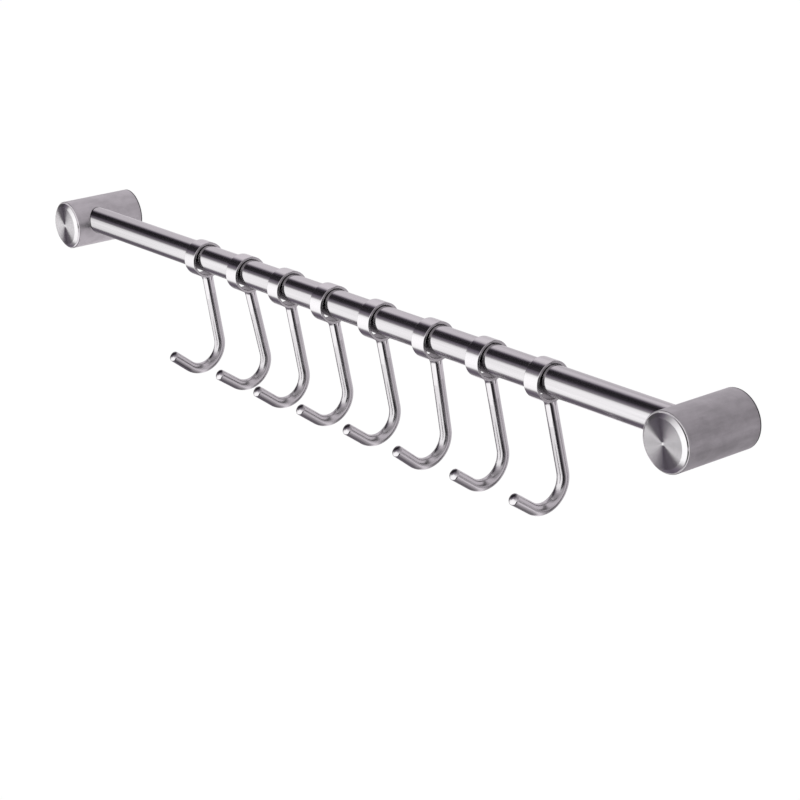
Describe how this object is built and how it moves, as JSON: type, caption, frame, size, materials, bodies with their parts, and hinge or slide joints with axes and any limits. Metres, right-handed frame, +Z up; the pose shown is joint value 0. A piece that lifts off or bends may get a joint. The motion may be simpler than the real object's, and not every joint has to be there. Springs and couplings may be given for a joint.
{
  "type": "kitchen utensil rail",
  "caption": "Wall-mounted stainless steel tube rail on round standoff posts, with ring hooks that slide along it and swing for hanging kitchen utensils.",
  "frame": {"origin": "on the wall's plane, midway between the two wall screws", "axes": "+X along the rail, to the right as seen from the room; +Y into the wall; +Z up"},
  "size_m": [0.565, 0.0586, 0.0841],
  "materials": {
    "rail_steel": "brushed along its length",
    "post_steel": "satin, turned",
    "ring_steel": "polished",
    "wire_steel": "polished",
    "core_metal": "machined",
    "screw_steel": "black oxide"
  },
  "bodies": {
    "rail_frame": {"rail_tube": "rail_steel", "left_post_sleeve": "post_steel", "right_post_sleeve": "post_steel", "left_end_cap": "post_steel", "right_end_cap": "post_steel", "left_post_core": "core_metal", "right_post_core": "core_metal", "left_wall_boss": "core_metal", "right_wall_boss": "core_metal", "left_grub_screw": "screw_steel", "right_grub_screw": "screw_steel"},
    "ring_1": {"hook_ring_1": "ring_steel"},
    "wire_1": {"hook_wire_1": "wire_steel"},
    "ring_2": {"hook_ring_2": "ring_steel"},
    "wire_2": {"hook_wire_2": "wire_steel"},
    "ring_3": {"hook_ring_3": "ring_steel"},
    "wire_3": {"hook_wire_3": "wire_steel"},
    "ring_4": {"hook_ring_4": "ring_steel"},
    "wire_4": {"hook_wire_4": "wire_steel"},
    "ring_5": {"hook_ring_5": "ring_steel"},
    "wire_5": {"hook_wire_5": "wire_steel"},
    "ring_6": {"hook_ring_6": "ring_steel"},
    "wire_6": {"hook_wire_6": "wire_steel"},
    "ring_7": {"hook_ring_7": "ring_steel"},
    "wire_7": {"hook_wire_7": "wire_steel"},
    "ring_8": {"hook_ring_8": "ring_steel"},
    "wire_8": {"hook_wire_8": "wire_steel"}
  },
  "joints": [
    {"name": "ring_1_slide", "type": "slide", "parent": "rail_frame", "child": "ring_1", "axis": [1, 0, 0], "range_m": [-0.1131, 0.0336]},
    {"name": "hook_1_swing", "type": "hinge", "parent": "ring_1", "child": "wire_1", "pos_m": [-0.134, -0.03, 0.00165], "axis": [1, 0, 0], "range_deg": [-181.8, 20.5]},
    {"name": "ring_2_slide", "type": "slide", "parent": "rail_frame", "child": "ring_2", "axis": [1, 0, 0], "range_m": [-0.0336, 0.0311]},
    {"name": "hook_2_swing", "type": "hinge", "parent": "ring_2", "child": "wire_2", "pos_m": [-0.09, -0.03, 0.00165], "axis": [1, 0, 0], "range_deg": [-185.3, 17]},
    {"name": "ring_3_slide", "type": "slide", "parent": "rail_frame", "child": "ring_3", "axis": [1, 0, 0], "range_m": [-0.0311, 0.0306]},
    {"name": "hook_3_swing", "type": "hinge", "parent": "ring_3", "child": "wire_3", "pos_m": [-0.0485, -0.03, 0.00165], "axis": [1, 0, 0], "range_deg": [-183.3, 19]},
    {"name": "ring_4_slide", "type": "slide", "parent": "rail_frame", "child": "ring_4", "axis": [1, 0, 0], "range_m": [-0.0306, 0.0326]},
    {"name": "hook_4_swing", "type": "hinge", "parent": "ring_4", "child": "wire_4", "pos_m": [-0.0075, -0.03, 0.00165], "axis": [1, 0, 0], "range_deg": [-183.8, 18.5]},
    {"name": "ring_5_slide", "type": "slide", "parent": "rail_frame", "child": "ring_5", "axis": [1, 0, 0], "range_m": [-0.0326, 0.0361]},
    {"name": "hook_5_swing", "type": "hinge", "parent": "ring_5", "child": "wire_5", "pos_m": [0.0355, -0.03, 0.00165], "axis": [1, 0, 0], "range_deg": [-183.8, 18.5]},
    {"name": "ring_6_slide", "type": "slide", "parent": "rail_frame", "child": "ring_6", "axis": [1, 0, 0], "range_m": [-0.0361, 0.0326]},
    {"name": "hook_6_swing", "type": "hinge", "parent": "ring_6", "child": "wire_6", "pos_m": [0.082, -0.03, 0.00165], "axis": [1, 0, 0], "range_deg": [-181.3, 21]},
    {"name": "ring_7_slide", "type": "slide", "parent": "rail_frame", "child": "ring_7", "axis": [1, 0, 0], "range_m": [-0.0326, 0.0341]},
    {"name": "hook_7_swing", "type": "hinge", "parent": "ring_7", "child": "wire_7", "pos_m": [0.125, -0.03, 0.00165], "axis": [1, 0, 0], "range_deg": [-184.3, 18]},
    {"name": "ring_8_slide", "type": "slide", "parent": "rail_frame", "child": "ring_8", "axis": [1, 0, 0], "range_m": [-0.0341, 0.0776]},
    {"name": "hook_8_swing", "type": "hinge", "parent": "ring_8", "child": "wire_8", "pos_m": [0.1695, -0.03, 0.00165], "axis": [1, 0, 0], "range_deg": [-185.3, 17]}
  ]
}
